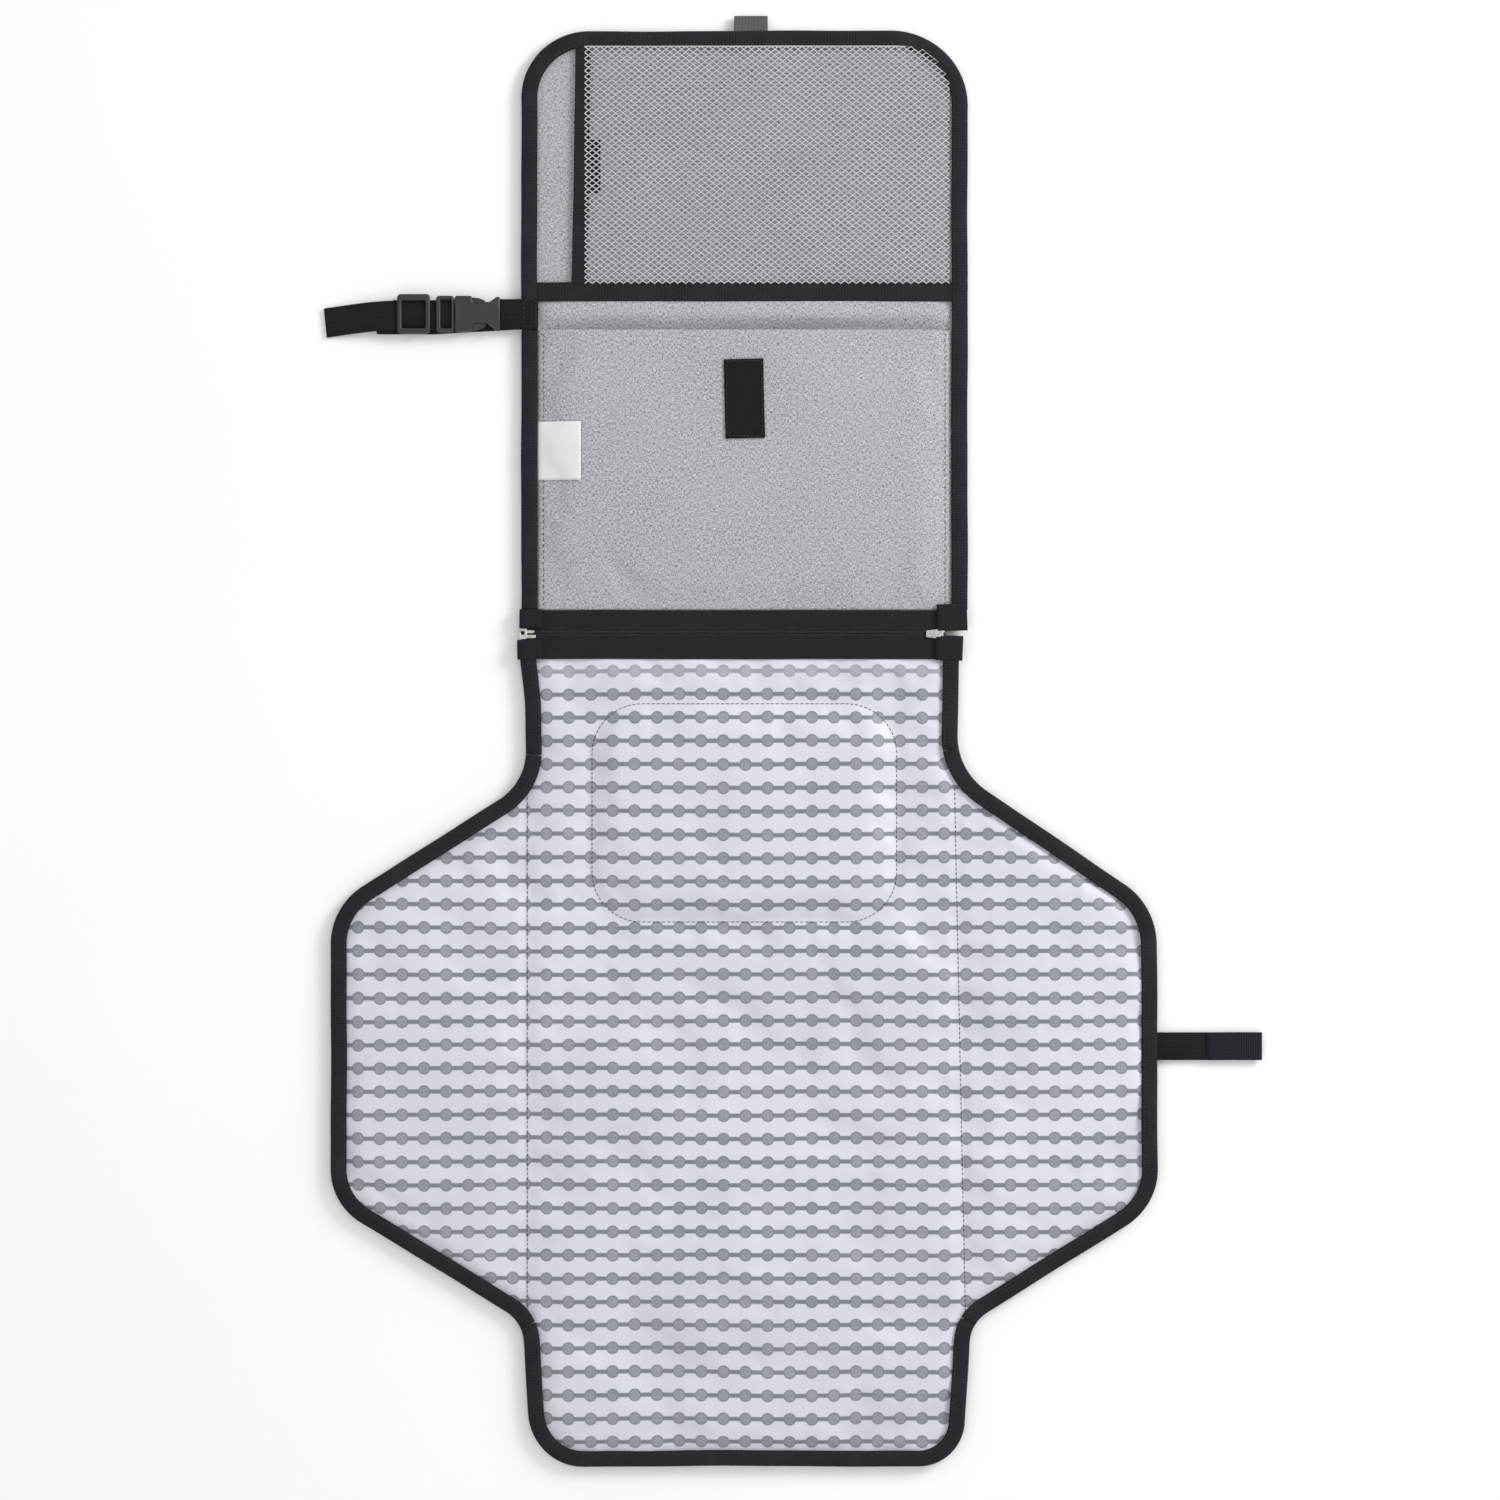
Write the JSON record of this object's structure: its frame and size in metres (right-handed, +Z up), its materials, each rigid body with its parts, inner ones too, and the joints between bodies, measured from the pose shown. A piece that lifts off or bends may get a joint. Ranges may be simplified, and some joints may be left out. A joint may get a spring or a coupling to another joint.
{
  "type": "changing pad",
  "caption": "Padded baby changing mat with fold-in wings, zipped to a folding organizer with net and flat pockets, buckle strap and closure tab.",
  "frame": {"origin": "centre of the mat's underside, on the centreline halfway along the mat", "axes": "+X across the mat towards the closure tab, +Y from the foot towards the organizer, +Z up out of the printed face"},
  "size_m": [0.641, 0.9911, 0.0115],
  "materials": {
    "binding_tape": "ribbed grosgrain tape",
    "printed_cloth": "soft coated cloth with a dot and bar print",
    "backing_cloth": "plain woven cloth",
    "foam": "open cell foam",
    "stiffener_board": "thin sheet",
    "heather_cloth": "heather grey weave",
    "net": "open net of silvery thread",
    "zip_coil": "woven tape and nylon coil",
    "zip_metal": "plated, lightly worn",
    "loop_tape": "fuzzy loops",
    "hook_tape": "rows of hooks",
    "label_cloth": "smooth satin, blank",
    "loop_webbing": "narrow woven tape",
    "webbing": "ribbed webbing",
    "buckle_plastic": "moulded, satin"
  },
  "bodies": {
    "mat": {"mat_back_sheet": "backing_cloth", "mat_foam": "foam", "mat_top_sheet": "printed_cloth", "head_binding_left": "binding_tape", "head_binding_right": "binding_tape", "head_cushion_foam": "foam", "head_cushion_cover": "printed_cloth", "zip_coil_mat": "zip_coil", "zip_tape_mat": "zip_coil", "zip_end_block_mat": "binding_tape", "zip_retainer_box": "zip_metal", "zip_insertion_pin": "zip_metal"},
    "left_wing": {"left_wing_back_sheet": "backing_cloth", "left_wing_foam": "foam", "left_wing_top_sheet": "printed_cloth", "left_wing_binding": "binding_tape"},
    "right_wing": {"right_wing_back_sheet": "backing_cloth", "right_wing_foam": "foam", "right_wing_top_sheet": "printed_cloth", "right_wing_binding": "binding_tape"},
    "foot": {"foot_back_sheet": "backing_cloth", "foot_foam": "foam", "foot_top_sheet": "printed_cloth", "foot_binding": "binding_tape"},
    "closure_tab": {"tab_webbing": "webbing", "tab_hook_tape": "hook_tape"},
    "organizer_lower": {"lower_shell": "backing_cloth", "lower_stiffener": "stiffener_board", "lower_lining": "heather_cloth", "lower_binding_left": "binding_tape", "lower_binding_right": "binding_tape", "flat_pocket_front": "heather_cloth", "pocket_loop_patch": "loop_tape", "sewn_label": "label_cloth", "zip_coil_organizer": "zip_coil", "zip_tape_organizer": "zip_coil", "zip_end_block_organizer": "binding_tape", "strap_patch": "webbing"},
    "organizer_upper": {"upper_shell": "backing_cloth", "upper_stiffener": "stiffener_board", "upper_lining": "heather_cloth", "upper_binding": "binding_tape", "net_pocket": "net", "net_edge_binding": "binding_tape", "cross_binding": "binding_tape", "net_hook_patch": "hook_tape"},
    "hang_loop": {"hang_loop": "loop_webbing"},
    "slider": {"zip_slider": "zip_metal"},
    "puller": {"zip_puller": "zip_metal"},
    "strap": {"short_webbing": "webbing", "long_webbing": "webbing", "buckle_female": "buckle_plastic"},
    "male_buckle": {"buckle_male": "buckle_plastic", "male_prong_head_side": "buckle_plastic", "male_prong_foot_side": "buckle_plastic", "doubled_webbing": "webbing", "tail_webbing": "webbing"},
    "tri_glide": {"tri_glide": "buckle_plastic"}
  },
  "joints": [
    {"name": "left_wing_fold", "type": "hinge", "parent": "mat", "child": "left_wing", "pos_m": [-0.15, 0, 0.01], "axis": [0, 1, 0], "range_deg": [0, 180]},
    {"name": "right_wing_fold", "type": "hinge", "parent": "mat", "child": "right_wing", "pos_m": [0.15, 0, 0.013], "axis": [0, -1, 0], "range_deg": [0, 180]},
    {"name": "foot_fold", "type": "hinge", "parent": "mat", "child": "foot", "pos_m": [0, -0.18, 0.0168], "axis": [-1, 0, 0], "range_deg": [0, 180]},
    {"name": "organizer_fold", "type": "hinge", "parent": "mat", "child": "organizer_lower", "pos_m": [0, 0.2927, 0.01], "axis": [1, 0, 0], "range_deg": [0, 160], "deforming": ["zip_tape_organizer", "zip_coil_organizer"]},
    {"name": "upper_fold", "type": "hinge", "parent": "organizer_lower", "child": "organizer_upper", "pos_m": [0, 0.5265, 0.0105], "axis": [1, 0, 0], "range_deg": [0, 180]},
    {"name": "tab_lift", "type": "hinge", "parent": "right_wing", "child": "closure_tab", "pos_m": [0.2836, 0, 0.0026], "axis": [0, 1, 0], "range_deg": [-90, 0]},
    {"name": "hang_loop_lift", "type": "hinge", "parent": "organizer_upper", "child": "hang_loop", "pos_m": [0, 0.7073, 0.003], "axis": [-1, 0, 0], "range_deg": [-90, 0]},
    {"name": "strap_lift", "type": "hinge", "parent": "organizer_lower", "child": "strap", "pos_m": [-0.1548, 0.511, 0.0056], "axis": [0, -1, 0], "range_deg": [-125, 0]},
    {"name": "buckle_release", "type": "slide", "parent": "strap", "child": "male_buckle", "axis": [-1, 0, 0], "range_m": [0, 0.035], "deforming": ["male_prong_head_side", "male_prong_foot_side", "long_webbing"]},
    {"name": "tri_glide_slide", "type": "slide", "parent": "male_buckle", "child": "tri_glide", "axis": [-1, 0, 0], "range_m": [0, 0.003]},
    {"name": "zip_slide", "type": "slide", "parent": "mat", "child": "slider", "axis": [1, 0, 0], "range_m": [-0.262, 0]},
    {"name": "puller_swing", "type": "hinge", "parent": "slider", "child": "puller", "pos_m": [0.128, 0.2927, 0.00105], "axis": [0, -1, 0], "range_deg": [0, 180]}
  ]
}
